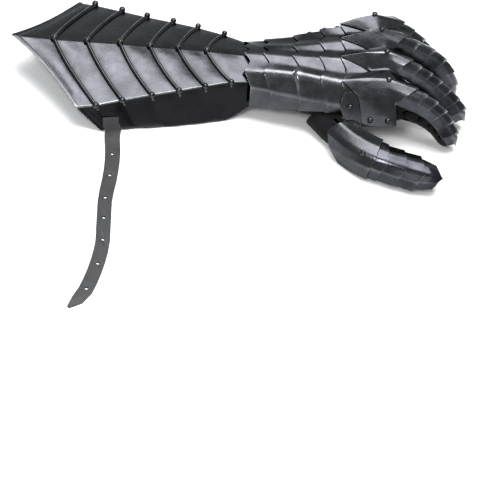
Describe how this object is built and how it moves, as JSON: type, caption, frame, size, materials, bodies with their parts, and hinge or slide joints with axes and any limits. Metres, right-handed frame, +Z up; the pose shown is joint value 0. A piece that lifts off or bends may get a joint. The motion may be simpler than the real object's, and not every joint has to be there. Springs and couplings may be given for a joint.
{
  "type": "armoured gauntlet",
  "caption": "Left-hand steel gauntlet with a flared ribbed cuff, overlapping hand lames, fluted knuckle plate, scaled fingers, suede glove and buckled cuff strap.",
  "frame": {"origin": "bottom centre of the whole piece's bounding box, as it lies palm down on a surface", "axes": "+X from the flared cuff to the fingertips, +Y from the thumb side to the little finger side, +Z up through the back of the hand"},
  "size_m": [0.4654, 0.4064, 0.0892],
  "materials": {
    "plate_steel": "satin blackened",
    "rib_steel": "gloss blackened",
    "scale_steel": "satin blackened",
    "rivet_steel": "polished black",
    "suede": "napped suede",
    "strap_leather": "smooth",
    "buckle_nickel": "bright nickel"
  },
  "bodies": {
    "root": {"cuff_plate": "plate_steel", "hand_lame_1": "plate_steel", "hand_lame_2": "plate_steel", "hand_lame_3": "plate_steel", "hand_lame_4": "plate_steel", "hand_lame_5": "plate_steel", "knuckle_plate": "plate_steel", "side_plate": "plate_steel", "thumb_root_plate": "plate_steel", "cuff_rib_1": "rib_steel", "cuff_rib_2": "rib_steel", "cuff_rib_3": "rib_steel", "cuff_rib_4": "rib_steel", "cuff_rib_5": "rib_steel", "cuff_rib_6": "rib_steel", "index_scale_1": "scale_steel", "index_scale_2": "scale_steel", "index_scale_3": "scale_steel", "index_scale_4": "scale_steel", "index_scale_5": "scale_steel", "index_scale_6": "scale_steel", "middle_scale_1": "scale_steel", "middle_scale_2": "scale_steel", "middle_scale_3": "scale_steel", "middle_scale_4": "scale_steel", "middle_scale_5": "scale_steel", "middle_scale_6": "scale_steel", "middle_scale_7": "scale_steel", "ring_scale_1": "scale_steel", "ring_scale_2": "scale_steel", "ring_scale_3": "scale_steel", "ring_scale_4": "scale_steel", "ring_scale_5": "scale_steel", "ring_scale_6": "scale_steel", "little_scale_1": "scale_steel", "little_scale_2": "scale_steel", "little_scale_3": "scale_steel", "little_scale_4": "scale_steel", "little_scale_5": "scale_steel", "thumb_scale_1": "scale_steel", "thumb_scale_2": "scale_steel", "thumb_scale_3": "scale_steel", "thumb_scale_4": "scale_steel", "rivet_index": "rivet_steel", "rivet_middle": "rivet_steel", "rivet_ring": "rivet_steel", "rivet_little": "rivet_steel", "rivet_side_plate": "rivet_steel", "rivet_flange_1": "rivet_steel", "rivet_flange_2": "rivet_steel", "rivet_thumb_root": "rivet_steel", "rivet_far_1": "rivet_steel", "rivet_far_2": "rivet_steel", "rivet_far_3": "rivet_steel", "glove": "suede", "cuff_strap": "strap_leather", "buckle_strap": "strap_leather", "palm_strap": "strap_leather", "buckle": "buckle_nickel"}
  },
  "joints": []
}
